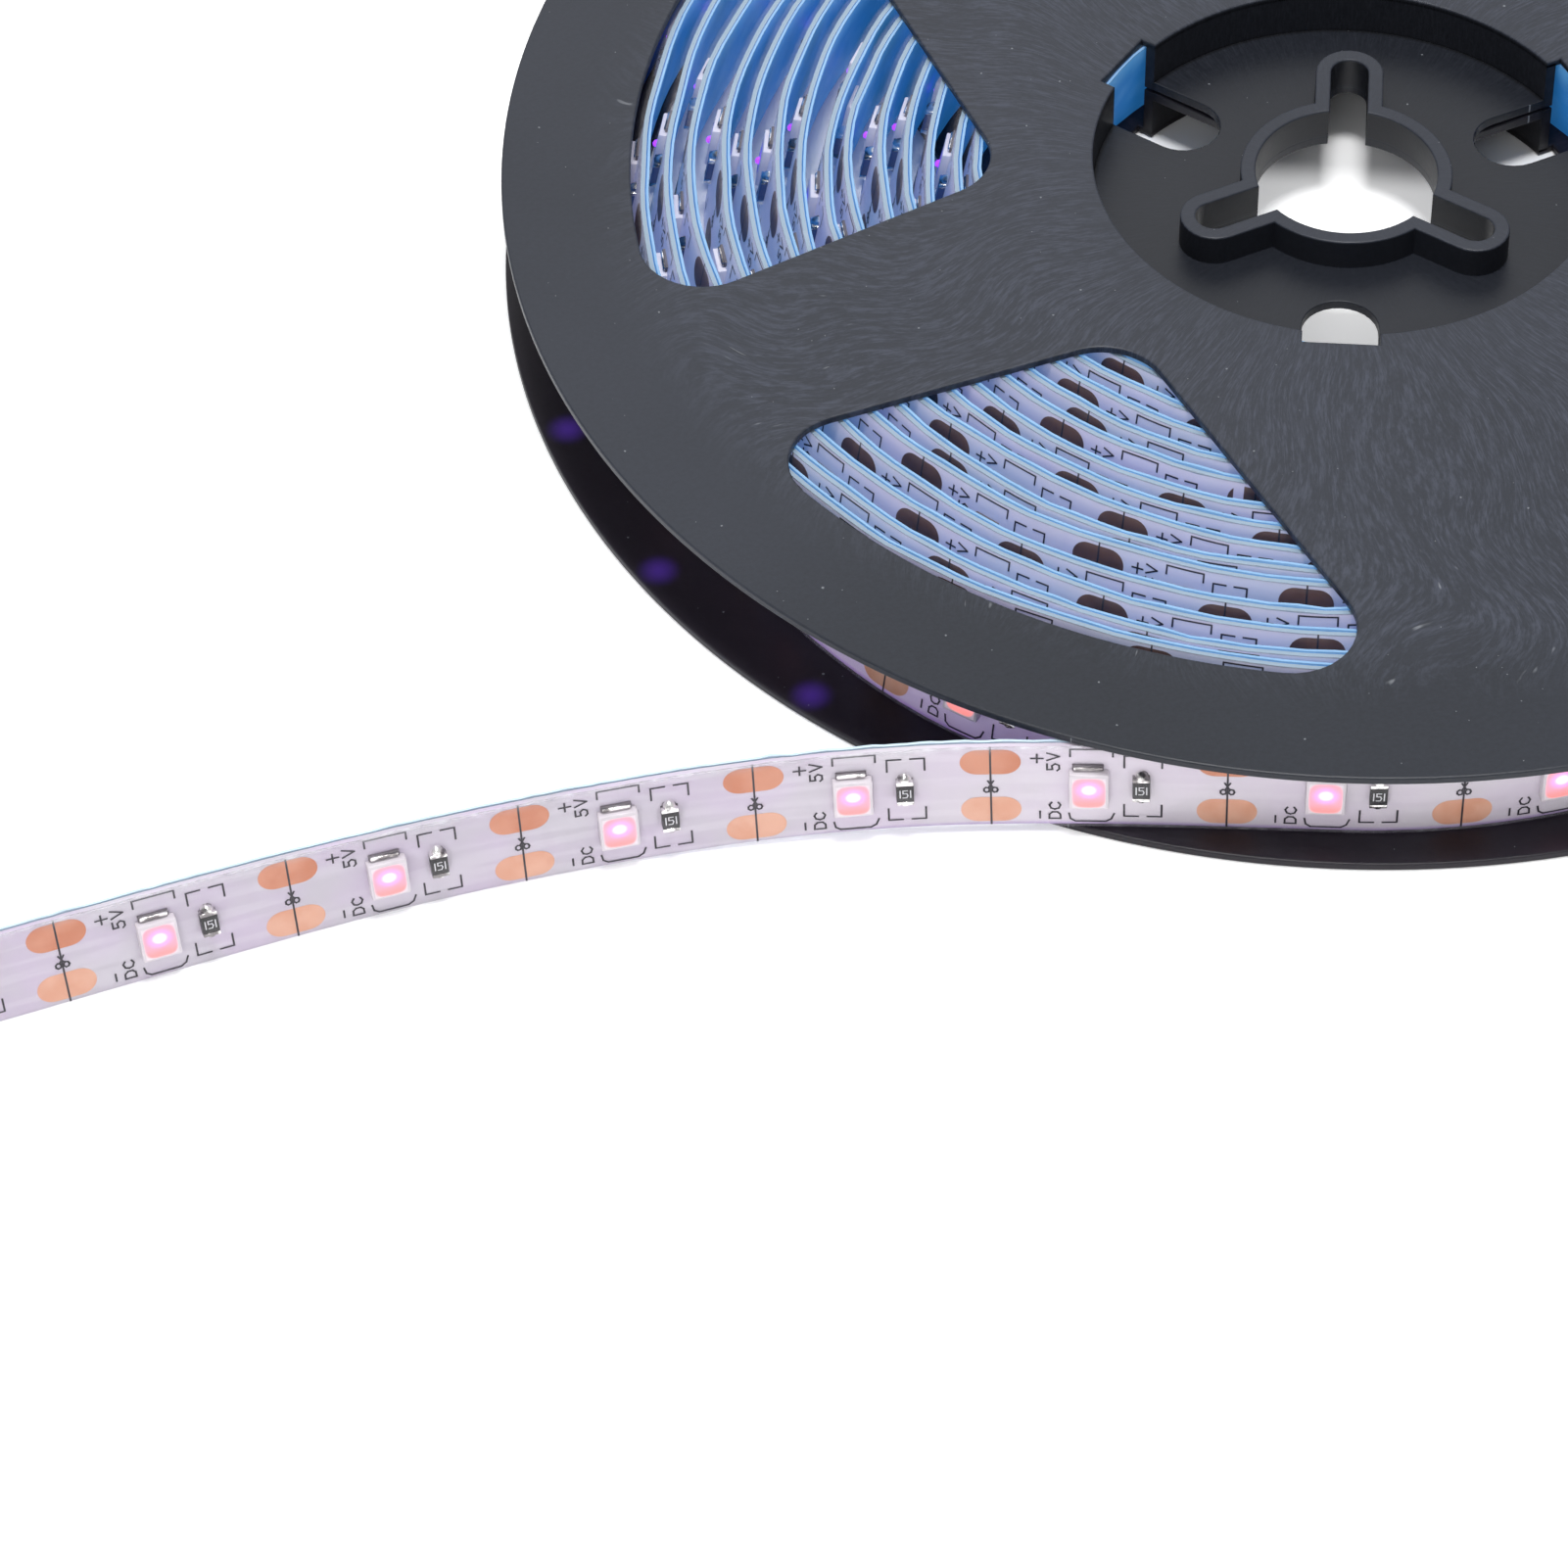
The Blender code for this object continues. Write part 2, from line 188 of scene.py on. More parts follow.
# Flat plate with rounded edges: the first outline is its rim, the others are holes.
def plate(outlines, bottom, top, edge=0.0):
    curve = bpy.data.curves.new("plate", "CURVE")
    curve.dimensions = "2D"
    curve.fill_mode = "BOTH"
    curve.extrude = (top - bottom) / 2 - edge
    curve.bevel_depth = edge
    curve.bevel_resolution = 1
    curve.offset = -edge
    for number, outline in enumerate(outlines):
        area = sum(a[0] * b[1] - b[0] * a[1] for a, b in zip(outline, outline[1:] + outline[:1]))
        points = outline if (area > 0) == (number == 0) else outline[::-1]
        spline = curve.splines.new("POLY")
        spline.points.add(len(points) - 1)
        for point, (x, y) in zip(spline.points, points):
            point.co = (x, y, 0.0, 1.0)
        spline.use_cyclic_u = True
    drawn = bpy.data.objects.new("plate", curve)
    bpy.context.scene.collection.objects.link(drawn)
    bpy.context.view_layer.update()
    mesh = bpy.data.meshes.new_from_object(drawn.evaluated_get(bpy.context.evaluated_depsgraph_get()))
    bpy.data.objects.remove(drawn)
    shape = bmesh.new()
    shape.from_mesh(mesh)
    bpy.data.meshes.remove(mesh)
    bmesh.ops.remove_doubles(shape, verts=shape.verts, dist=weldGap)
    bmesh.ops.translate(shape, verts=shape.verts, vec=(0, 0, (top + bottom) / 2))
    bmesh.ops.recalc_face_normals(shape, faces=shape.faces)
    shape.verts.index_update()
    points = [tuple(vert.co) for vert in shape.verts]
    faces = [[vert.index for vert in face.verts] for face in shape.faces]
    shape.free()
    return points, faces


def gather(shapes):
    points, faces = [], []
    for somePoints, someFaces in shapes:
        faces += [[i + len(points) for i in face] for face in someFaces]
        points += somePoints
    return points, faces


reel = {
    "radius": 64.2, "height": 9.54, "flange": 0.65, "edge": 0.13,
    "recess": 19.3, "hub": 20.1, "floor": 0.8, "floorDepth": 3.82, "floorEdge": 0.08,
    "bore": 6.9, "keyWidth": 2.9, "keyReach": 12.8, "firstKey": radians(60),
    "collarWall": 1.15, "collarUp": 2.6, "collarSunk": 0.3, "collarEdge": 0.12,
    "slotWidth": 5.8, "slotStart": 11.7, "lowerSlotStart": 10.5, "slotEnd": 20.3,
    "windowRadius": 54.4, "corner": 4.8,
    "nearSide": 11.9, "nearLean": radians(4.5), "farSide": 24.1, "farLean": radians(2.2),
    "overlap": 0.02,         # how far pieces of one half run into each other
    "lowerSpread": 0.15,     # the lower half's bore is wider than the collar by this
}
floorTop = reel["height"] - reel["floorDepth"]
arcSteps = {"rim": 360, "arch": 48, "lobe": 30, "end": 14, "corner": 12}


def lobedOutline(radius, width, reach):
    half, points = width / 2, []
    side = asin(half / radius)
    for i in range(3):
        angle = reel["firstKey"] + i * 2 * pi / 3
        end = arcPoints((reach - half, 0.0), half, -pi / 2, pi / 2, arcSteps["end"])
        points += turnPoints(end, angle)
        points += arcPoints((0, 0), radius, angle + side, angle + 2 * pi / 3 - side, arcSteps["lobe"])
    return points


def slotAngles():
    return [reel["firstKey"] + (2 * i + 1) * pi / 3 for i in range(3)]


# A circle that is broken at each hub slot by the notch given, as seen along +X.
def notchedCircle(radius, notch):
    side, points = asin(reel["slotWidth"] / 2 / radius), []
    for angle in slotAngles():
        points += turnPoints(notch, angle)
        points += arcPoints((0, 0), radius, angle + side, angle + 2 * pi / 3 - side, arcSteps["arch"])
    return points


# The recess in the flange, with a square notch over each hub slot.
def recessOutline():
    half = reel["slotWidth"] / 2
    return notchedCircle(reel["recess"], [(reel["slotEnd"], -half), (reel["slotEnd"], half)])


def slottedFloor(start):
    half = reel["slotWidth"] / 2
    end = arcPoints((start + half, 0), half, 3 * pi / 2, pi / 2, arcSteps["end"])
    return notchedCircle(reel["recess"] + reel["overlap"], end)


# The three stretches of the hub's wall between its slots.
def wallOutlines():
    half, pieces = reel["slotWidth"] / 2, []
    outer, inner = asin(half / reel["hub"]), asin(half / reel["recess"])
    for angle in slotAngles():
        end = angle + 2 * pi / 3
        pieces.append(arcPoints((0, 0), reel["hub"], angle + outer, end - outer, arcSteps["arch"])
                      + arcPoints((0, 0), reel["recess"], end - inner, angle + inner, arcSteps["arch"]))
    return pieces


# The window in the quarter where x and y are positive. The other three mirror it.
def windowOutline():
    corner, ring = reel["corner"], reel["windowRadius"] - reel["corner"]
    nearTurn, farTurn = -reel["nearLean"], pi / 2 + reel["farLean"]
    near, far = reel["nearSide"] + corner, reel["farSide"] + corner
    nearNormal, farNormal = Vector((-sin(nearTurn), cos(nearTurn))), Vector((sin(farTurn), -cos(farTurn)))
    nearAlong, farAlong = Vector((cos(nearTurn), sin(nearTurn))), Vector((cos(farTurn), sin(farTurn)))
    nearCentre = nearNormal * near + nearAlong * sqrt(ring ** 2 - near ** 2)
    farCentre = farNormal * far + farAlong * sqrt(ring ** 2 - far ** 2)
    cross = nearNormal.x * farNormal.y - nearNormal.y * farNormal.x
    inner = Vector(((near * farNormal.y - far * nearNormal.y) / cross,
                    (far * nearNormal.x - near * farNormal.x) / cross))
    nearBearing, farBearing = atan2(nearCentre.y, nearCentre.x), atan2(farCentre.y, farCentre.x)
    points = arcPoints(nearCentre, corner, nearTurn - pi / 2, nearBearing, arcSteps["corner"])
    points += arcPoints((0, 0), reel["windowRadius"], nearBearing, farBearing, arcSteps["arch"])[1:-1]
    points += arcPoints(farCentre, corner, farBearing, farTurn + pi / 2, arcSteps["corner"])
    points += arcPoints(inner, corner, farTurn + pi / 2, nearTurn + 3 * pi / 2, arcSteps["end"])
    return points


def reelHalf(upper):
    top, wall, overlap = reel["height"], reel["collarWall"], reel["overlap"]
    windows = [[(x * a, y * b) for x, y in windowOutline()] for a in (1, -1) for b in (1, -1)]
    floorLow = floorTop - reel["floor"]
    spread = 0.0 if upper else wall + reel["lowerSpread"]
    bore = lobedOutline(reel["bore"] + spread, reel["keyWidth"] + 2 * spread, reel["keyReach"] + spread)
    rim = arcPoints((0, 0), reel["radius"], 0, 2 * pi, arcSteps["rim"])[:-1]
    floorRim = slottedFloor(reel["slotStart" if upper else "lowerSlotStart"])
    shapes = [plate([rim, recessOutline(), *windows], top - reel["flange"], top, reel["edge"]),
              plate([floorRim, bore], floorLow, floorTop, reel["floorEdge"])]
    shapes += [plate([outline], floorLow, top - reel["flange"] / 2) for outline in wallOutlines()]
    if upper:
        collar = lobedOutline(reel["bore"] + wall, reel["keyWidth"] + 2 * wall, reel["keyReach"] + wall)
        inner = lobedOutline(reel["bore"] + overlap / 2, reel["keyWidth"] - overlap,
                             reel["keyReach"] - overlap / 2)
        shapes.append(plate([collar, inner], floorTop - reel["collarSunk"], floorTop + reel["collarUp"],
                            reel["collarEdge"]))
    points, faces = gather(shapes)
    if not upper:
        points = [(x, y, top - z) for x, y, z in points]
        faces = [face[::-1] for face in faces]
    return points, faces


# Satin black moulding: smooth outer ring, streaks that fan out over the spokes, white specks.
def blackPlastic(name, dark, light, gleams):
    made = Finish(name, {"Specular IOR Level": 0.30, "Emission Strength": 1.0})
    x, y, z = made.parts(made.coords())
    x = (x - axisX * mm) * toMm
    y = y * toMm
    z = z * toMm
    radius = (x * x + y * y) ** 0.5
    angle = x.math("ARCTAN2", y, x)
    flat = made.join(x, y)
    drift = made.noise(flat, 0.045, 1.0) - 0.5
    along = made.join((angle + drift * 0.55) * 120, radius * 0.46, z)
    fine = made.join((angle + drift * 0.45) * 240, radius * 0.80, z)
    streak = made.noise(along, 1.0, 3.0, 0.65) * 0.5 + made.noise(fine, 1.0, 3.0, 0.7) * 0.5
    spokes = radius.step(59.0, 50.0) * (0.25 + radius.step(15.0, 24.0) * 0.75)
    dash = made.noise(along, 1.1, 1.0).step(0.70, 0.80) * made.noise(flat, 0.35, 2.0).step(0.52, 0.64)
    dash = dash * radius.step(38.0, 47.0) * radius.step(58.0, 53.0)
    speck = made.noise(flat, 2.6, 0.0).step(0.872, 0.882)
    grain = made.noise(made.coords(), 2600.0, 3.0, 0.6)

    # Painted shade: the outer ring's front is darker than the rest.
    frontX, frontY = -0.67, -0.743
    front = ((x * frontX + y * frontY) / radius).step(0.82, 0.99) * radius.step(50.0, 56.0)
    lift = streak.step(0.43, 0.66) * spokes * 0.74 + grain * 0.3 + made.noise(flat, 0.04, 2.0) * 0.25
    tone = made.mix((lift - front * 0.17).most(0.0).least(1.0), dark, light)

    # Painted shade also darkens the hub's floor, the sides of its collar and the side of its recess.
    recess, collarTop = reel["recess"], floorTop + reel["collarUp"]
    hubFloorShade = z.step(floorTop + 0.18, floorTop - 0.02) * radius.step(recess + 0.3, recess)
    tone = made.mix(hubFloorShade * 0.6, tone, srgb(13, 15, 20))
    tone = made.mix((dash * 0.6 + speck * 0.5).least(1.0), tone, srgb(150, 154, 160))
    collarSideShade = z.step(collarTop - 0.05, collarTop - 0.2) * z.step(floorTop + 0.02, floorTop + 0.14)
    recessSideShade = radius.step(recess - 0.4, recess - 0.1) * radius.step(recess + 2.2, recess + 1.2)
    recessSideShade = recessSideShade * z.step(reel["height"] - 0.04, reel["height"] - 0.24)
    made.set("Base Color", made.mix(collarSideShade.most(recessSideShade) * 0.7, tone, srgb(10, 10, 13)))
    made.set("Roughness", 0.42 + (streak - 0.5) * spokes * 0.5 + (grain - 0.5) * 0.12)
    made.bump(grain * 0.5 + streak * spokes * 1.1, 0.35, 0.00006)

    # Painted reflection: violet spots of the lamps' light glow on the lower flange.
    shine = radius * 0.0
    for gleamX, gleamY in gleams:
        shine = shine + (((x - gleamX) ** 2 + (y - gleamY) ** 2) ** 0.5).step(gleamRadius, 0.0)
    made.set("Emission Color", made.mix(shine.least(1.0), (0.0, 0.0, 0.0), (0.032, 0.009, 0.150)))
    return made


# Where the lamps' violet light gleams on the lower flange, in mm from the reel's axis.
lowerGleams = [(-61.8, 7.6), (-61.9, -8.9), (-57.3, -25.2)]
gleamRadius = 1.9
# The lower half gets darker, violet-brown tones: painted shade and violet lamp light on the same black
# plastic.
halves = (("upper_reel_half", "reelTop", (23, 27, 35), (61, 65, 77), []),
          ("lower_reel_half", "reelBottom", (24, 20, 28), (50, 46, 56), lowerGleams))
for cadNode, label, dark, light, gleams in halves:
    plastic = blackPlastic(label + "Plastic", srgb(*dark), srgb(*light), gleams)
    piece = meshPiece(label, *reelHalf(label == "reelTop"), plastic, sharp=16)
    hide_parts(cadNode)
print("reel", flush=True)


strip = {
    "width": 8.0, "board": 0.3, "coat": 0.8, "unit": 1000 / 60, "length": 5000.0, "rest": 0.77,
    "outer": 61.0, "inner": 21.02, "leave": radians(241.7), "tail": 108.6,
    "straight": 5.2, "bendOver": 80.0, "bend": radians(24.0), "dropStart": 25.5, "dropOver": 35.0,
    "leanStart": 56.7, "leanOver": 40.0, "lean": radians(4.55), "behind": 0.52,
    "printTilt": 0.055, "tiltOver": 80.0,
}
# How loosely the turns lie. Angles start where the strip leaves the reel, and lengths there too.
slack = {
    "from": 6.2, "over": 1.6, "inner": 3.0,
    "wave": (1.5, 0.75, 0.9), "kink": (7.0, 0.9, 0.21),    # round the reel, from turn to turn, depth
    "settle": 2.6, "settleOver": 1.1,
    "swell": 5.3, "swellOver": 0.6, "shrink": 7.2, "shrinkOver": 1.0,
    "lean": 1.5, "leanFrom": 60, "leanOver": 120,
}
woundFrom, woundTo = 460, 520    # mm along the strip, where the light inside the reel sets in
pathStep = 0.5
stationGaps = {"fine": 0.8, "fineBeyond": 60, "coarse": 2.2}


def ramp(value):
    t = min(max(value, 0.0), 1.0)
    return t * t * (3 - 2 * t)


def waver(angle, turn, wave):
    around, fromTurn, depth = wave
    return noise.noise(Vector((cos(angle) * around, sin(angle) * around, turn * fromTurn))) * depth


# How far the turns lie from an even spiral: they wave, and the outermost one sinks in and swells out again.
def slackAt(theta, turns):
    turn, angle = theta / (2 * pi), strip["leave"] + theta
    ease = ramp((theta - slack["from"]) / slack["over"]) * ramp((2 * pi * turns - theta) / slack["inner"])
    swell = ramp((theta - slack["swell"]) / slack["swellOver"])
    swell = swell * ramp((slack["shrink"] - theta) / slack["shrinkOver"])
    sunk = slack["settle"] * ramp(theta / slack["settleOver"]) * (1 - swell) * (1 - (turn / turns) ** 2)
    return ease * (waver(angle, turn, slack["wave"]) + waver(angle, turn, slack["kink"])) - sunk


# Points up to half a millimetre apart, from the free end to the hub, with normals that face outwards.
def makePath():
    count = 2 * ceil(strip["tail"] / pathStep)
    step = strip["tail"] / count
    x, y = strip["outer"] * cos(strip["leave"]), strip["outer"] * sin(strip["leave"])
    tail = [(strip["tail"], x, y, strip["rest"])]
    for i in range(count):
        left = (i + 0.5) * step
        bent = strip["bend"] * ramp((left - strip["straight"]) / strip["bendOver"])
        heading = strip["leave"] - pi / 2 + bent
        x, y = x + cos(heading) * step, y + sin(heading) * step
        low = strip["rest"] * (1 - ramp(((i + 1) * step - strip["dropStart"]) / strip["dropOver"]))
        tail.append((strip["tail"] - (i + 1) * step, x, y, low))
    rows = tail[:0:-1]
    turns = (strip["length"] - strip["tail"]) / (pi * (strip["outer"] + strip["inner"]))
    pitch = (strip["outer"] - strip["inner"]) / turns
    curl, travel = pitch / (4 * pi), 0.0
    while travel <= strip["length"] - strip["tail"]:
        theta = (strip["outer"] - sqrt(strip["outer"] ** 2 - 4 * curl * travel)) / (2 * curl)
        angle = strip["leave"] + theta
        radius = strip["outer"] - pitch * theta / (2 * pi) + slackAt(theta, turns)
        rows.append((strip["tail"] + travel, radius * cos(angle), radius * sin(angle), strip["rest"]))
        travel += pathStep
    s, px, py, low = np.array(rows).T
    tx, ty = np.gradient(px), np.gradient(py)
    size = np.hypot(tx, ty)
    return s, px, py, ty / size, -tx / size, low


pathS, pathX, pathY, pathNx, pathNy, pathLow = makePath()


# Travel, height above the strip's middle and distance out of the board's face, in mm.
def onStrip(s, w, d):
    s, w, d = np.broadcast_arrays(*map(lambda v: np.asarray(v, float), (s, w, d)))
    left = strip["tail"] - s
    s = s - strip["printTilt"] * np.sqrt(np.clip(left / strip["tiltOver"], 0, 1)) * w
    ease = np.clip((left - strip["leanStart"]) / strip["leanOver"], 0, 1)
    lean = strip["lean"] * ease * ease * (3 - 2 * ease)
    rise = w + strip["width"] / 2
    tipped = slack["lean"] * np.clip((-left - slack["leanFrom"]) / slack["leanOver"], 0, 1)
    out = d * np.cos(lean) - rise * np.sin(lean) - tipped * w / strip["width"]
    x = np.interp(s, pathS, pathX) + np.interp(s, pathS, pathNx) * out
    y = np.interp(s, pathS, pathY) + np.interp(s, pathS, pathNy) * out
    z = np.interp(s, pathS, pathLow) + rise * np.cos(lean) + (d + strip["behind"]) * np.sin(lean)
    return np.stack([x, y, z], -1)


def stations():
    near = np.arange(0.0, strip["tail"] + stationGaps["fineBeyond"], stationGaps["fine"])
    far = np.arange(near[-1] + stationGaps["coarse"], strip["length"] - 0.5, stationGaps["coarse"])
    return np.concatenate([near, far])


# How unevenly an edge was cut, at a travel in mm.
def ragged(travel):
    long = noise.noise(Vector((travel * 0.55, 3.1, 0.0)))
    short = noise.noise(Vector((travel * 1.7, 0.4, 7.0)))
    return long + 0.6 * short


# A closed band on edge. Its section is a loop of (out, up, milk), and its top edge is ragged.
def band(name, section, finish, rough):
    s = stations()
    n, m = len(s), len(section)
    out, up, milk = (np.tile(column, (n, 1)) for column in zip(*section))
    top = up > strip["width"] / 2 - 1.0
    up = up + rough * np.array([ragged(travel) for travel in s])[:, None] * top
    points = onStrip(np.repeat(s[:, None], m, 1), up, out).reshape(-1, 3)
    faces = [(i * m + j, i * m + (j + 1) % m, (i + 1) * m + (j + 1) % m, (i + 1) * m + j)
             for i in range(n - 1) for j in range(m)]
    faces += [tuple(range(m - 1, -1, -1)), tuple((n - 1) * m + j for j in range(m))]
    uv = np.stack([np.repeat(s, m) * mm, up.ravel() * mm], -1)
    # Painted shade: the coat is made less milky on the shaded turns inside the reel.
    shaded = np.clip((np.repeat(s, m) - woundFrom) / (woundTo - woundFrom), 0, 1)
    return meshPiece(name, points, faces, finish, uv=uv, values=milk.ravel() * (1 - 0.7 * shaded), sharp=40)


# Along and up the strip in metres, both in mm as a vector, and a mask of the shaded turns.
def stripCoords(made):
    u, v = made.parts(made.coords("UV"))[:2]
    return u, v, made.join(u * toMm, v * toMm), u.step(woundFrom * mm, woundTo * mm)


# White print with faint bands of copper under it, and painted violet light from the lamps inside the reel.
def boardFinish():
    made = Finish("printedBoard", {"Roughness": 0.32, "Emission Strength": 1.0})
    u, v, spot, wound = stripCoords(made)
    cloud = made.noise(spot, 0.16, 2.0)
    track = made.noise(made.join(u * 60, v * 900), 1.0, 1.0).step(0.45, 0.60)
    tone = made.mix(cloud.step(0.35, 0.65), srgb(190, 177, 198), srgb(186, 180, 191))
    tone = made.mix(track * 0.26, tone, srgb(214, 210, 218))
    # Painted light: the tail is lighter near the reel, with a painted violet fringe along its lower edge.
    paintedLightNearReel = u.step(0.055, 0.095)
    tone = made.mix(paintedLightNearReel * 0.45, tone, srgb(224, 216, 224))
    tone = made.mix(paintedLightNearReel * v.step(-0.0036, -0.0040) * 0.7, tone, srgb(146, 104, 188))
    # Painted shade: on the shaded turns the board's top edge is blue-grey.
    rim = v.step(0.00385, 0.00395)
    made.set("Base Color", made.mix(rim * wound, tone, srgb(136, 156, 174)))
    made.bump(track, 0.12, 0.00003)
    # Painted glow: violet and blue light of the lamps on the turns inside the reel.
    glow = made.noise(spot, 0.07, 1.0).step(0.35, 0.65)
    glow = made.mix(glow, (0.050, 0.085, 0.150), (0.075, 0.080, 0.160))
    glow = made.mix(wound, (0.075, 0.035, 0.120), glow)
    made.set("Emission Color", made.mix(u.step(0.415, 0.435) * (1 - rim), (0.0, 0.0, 0.0), glow))
    return made


# Clear and soft, milky where the band's milk value says.
def coatFinish():
    made = Finish("siliconeCoat", {"Roughness": 0.16})
    spot, wound = stripCoords(made)[2:]
    patch = made.noise(spot, 0.9, 3.0, 0.6)
    # Painted shade: the coat is darker and less patchy on the shaded turns.
    tone = made.mix(wound, srgb(184, 180, 188), srgb(150, 146, 150))
    made.set("Base Color", made.mix(patch.step(0.35, 0.7) * (1 - wound * 0.7), tone, srgb(226, 226, 232)))
    made.set("Alpha", (0.03 + made.attribute("milk") * (0.30 + patch * 0.5)).least(1.0))
    made.bump(made.noise(spot, 0.5, 2.0), 0.15, 0.0002)
    return made


# Light blue waxed film, pale along its cut edge, with painted shade towards its foot and on the shaded
# turns.
def linerFinish():
    made = Finish("blueLiner", {"Roughness": 0.5, "Emission Strength": 1.0})
    v, spot, wound = stripCoords(made)[1:]
    upper = made.mix(wound, srgb(166, 202, 228), srgb(104, 168, 216))
    tone = made.mix(v.step(0.0040, 0.0015), upper, srgb(34, 104, 176))
    edge = made.mix(wound, srgb(200, 220, 234), srgb(126, 158, 186))
    tone = made.mix(v.step(0.00385, 0.0040), tone, edge)
    cloud = made.noise(spot, 0.3, 2.0).step(0.4, 0.7) * (0.14 - wound * 0.04)
    made.set("Base Color", made.mix(cloud, tone, srgb(190, 225, 250)))
    made.bump(made.noise(spot, 0.25, 2.0), 0.3, 0.0003)
    # Painted glow: blue light of the lamps on the liner inside the reel.
    made.set("Emission Color", made.mix(wound, (0.0, 0.0, 0.0), (0.008, 0.070, 0.190)))
    return made


half = strip["width"] / 2
face = 0.05            # where the print seems to lie, seen through the coat
skin = face + 0.01     # the coat's inner side
boardTop, boardBack = half - 0.03, -strip["board"]
boardSection = [(boardBack, -half, 0), (face, -half, 0), (face, boardTop, 0), (boardBack, boardTop, 0)]
coatSection = [
    (skin, -half, 0.3), (0.30, -half, 0.2), (0.55, -half + 0.3, 0.05), (strip["coat"], -half + 1.3, 0.0),
    (strip["coat"], half - 1.3, 0.0), (0.60, half - 0.35, 0.0), (0.36, half, 0.25), (skin, half, 0.9),
    (skin, half - 0.2, 0.0), (skin, 0.2 - half, 0.0),
]
liner = {"back": -0.57, "front": -0.38, "low": -3.95, "high": 4.06}
linerSection = [(liner["back"], liner["low"], 0), (liner["front"], liner["low"], 0),
                (liner["front"], liner["high"], 0), (liner["back"], liner["high"], 0)]
boardBand = band("board", boardSection, boardFinish(), rough=0.05)
band("coat", coatSection, coatFinish(), rough=0.12)
linerBand = band("liner", linerSection, linerFinish(), rough=0.14)
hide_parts("led_strip")
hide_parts("release_liner")
print("bands", flush=True)


# Runs of cutting units: each cut line has print and pads, and a lamp follows each but the last.
unitCount = int(strip["length"] / strip["unit"]) - 1
firstShaded = 29    # from here on the units lie in the shade of the reel
cutLines, lampUnits, outerUnits = range(unitCount + 1), range(unitCount), range(firstShaded)
shadedLines, shadedLamps = range(firstShaded, unitCount + 1), range(firstShaded, unitCount)
ink = {"line": 0.145, "overhang": 0.8, "longest": 1.2, "digitLine": 0.085}
pads = {"reach": 2.15, "height": 2.5, "up": 2.42}
lifts = {"pad": 0.015, "ink": 0.03, "glow": 0.012, "digit": 0.014}    # films, off what is under them


def cornerMark(s, w, towardS, towardW, long=1.0, tall=1.2):
    return [(s + towardS * long, w), (s, w), (s, w + towardW * tall)]


def ring(s, w, rs, rw, count=7):
    return [(s + rs * cos(2 * pi * i / count), w + rw * sin(2 * pi * i / count)) for i in range(count + 1)]


# One cutting unit's print, in mm along from the cut line and up from the strip's middle.
unitPrint = [
    [(0, -half + 0.05), (0, half - 0.05)],                                    # cut line
    ring(-0.29, -0.42, 0.21, 0.26), ring(0.29, -0.42, 0.21, 0.26),            # scissors
    [(-0.17, -0.2), (0.2, 0.5)], [(0.17, -0.2), (-0.2, 0.5)],
    [(2.85, 2.75), (3.7, 2.75)], [(3.27, 2.32), (3.27, 3.18)],                # plus
    [(3.98, 3.3), (4.85, 2.95), (3.98, 2.55)],                                # 5V, read upwards
    [(3.98, 2.2), (3.98, 1.6), (4.36, 1.62), (4.32, 2.0), (4.55, 2.2), (4.82, 2.05), (4.84, 1.68),
     (4.68, 1.5)],
    [(3.45, -3.4), (3.45, -2.7)],                                             # minus, then DC
    [(4.1, -3.45), (4.9, -3.45), (4.88, -3.0), (4.68, -2.78), (4.34, -2.78), (4.12, -3.0), (4.1, -3.45)],
    [(4.74, -1.78), (4.9, -2.05), (4.78, -2.38), (4.5, -2.48), (4.24, -2.38), (4.12, -2.05), (4.28, -1.78)],
    [(5.6, 2.95), (5.6, 3.68), (8.6, 3.68), (8.6, 2.95)],                     # round the lamp
    [(5.5, -2.9), (5.6, -3.45), (5.95, -3.72), (8.1, -3.72), (8.5, -3.45), (8.7, -2.9)],
    cornerMark(9.4, 3.05, 1, -1), cornerMark(12.05, 3.05, -1, -1),            # round the resistor
    cornerMark(9.4, -3.15, 1, 1), cornerMark(12.05, -3.15, -1, 1),
]


# Ink lines as flat quads, in (along, up), short enough to follow the bend of the strip.
def strokeShape(lines, thick):
    points, faces = [], []
    for stroke in lines:
        for (s0, w0), (s1, w1) in zip(stroke, stroke[1:]):
            length = sqrt((s1 - s0) ** 2 + (w1 - w0) ** 2)
            es, ew = (s1 - s0) / length * thick / 2, (w1 - w0) / length * thick / 2
            s0, w0 = s0 - es * ink["overhang"], w0 - ew * ink["overhang"]
            s1, w1 = s1 + es * ink["overhang"], w1 + ew * ink["overhang"]
            cuts = max(1, ceil(abs(s1 - s0) / ink["longest"]))
            for i in range(cuts + 1):
                s, w = s0 + (s1 - s0) * i / cuts, w0 + (w1 - w0) * i / cuts
                points += [(s + ew, w - es), (s - ew, w + es)]
                if i:
                    k = len(points)
                    faces.append((k - 4, k - 2, k - 1, k - 3))
    return np.array(points), faces


# A round-ended pad as a strip of quads along the board.
def padShape(up, height, reach):
    r = height / 2
    ends = [(-reach + r * (1 - cos(a)), r * sin(a)) for a in np.linspace(0.12, pi / 2, 7)]
    rows = ends + [(s, r) for s in np.linspace(ends[-1][0], -ends[-1][0], 5)[1:-1]]
    rows += [(-s, h) for s, h in ends[::-1]]
    points = [p for s, h in rows for p in ((s, up - h), (s, up + h))]
    faces = [(2 * i, 2 * i + 2, 2 * i + 3, 2 * i + 1) for i in range(len(rows) - 1)]
    return np.array(points), faces


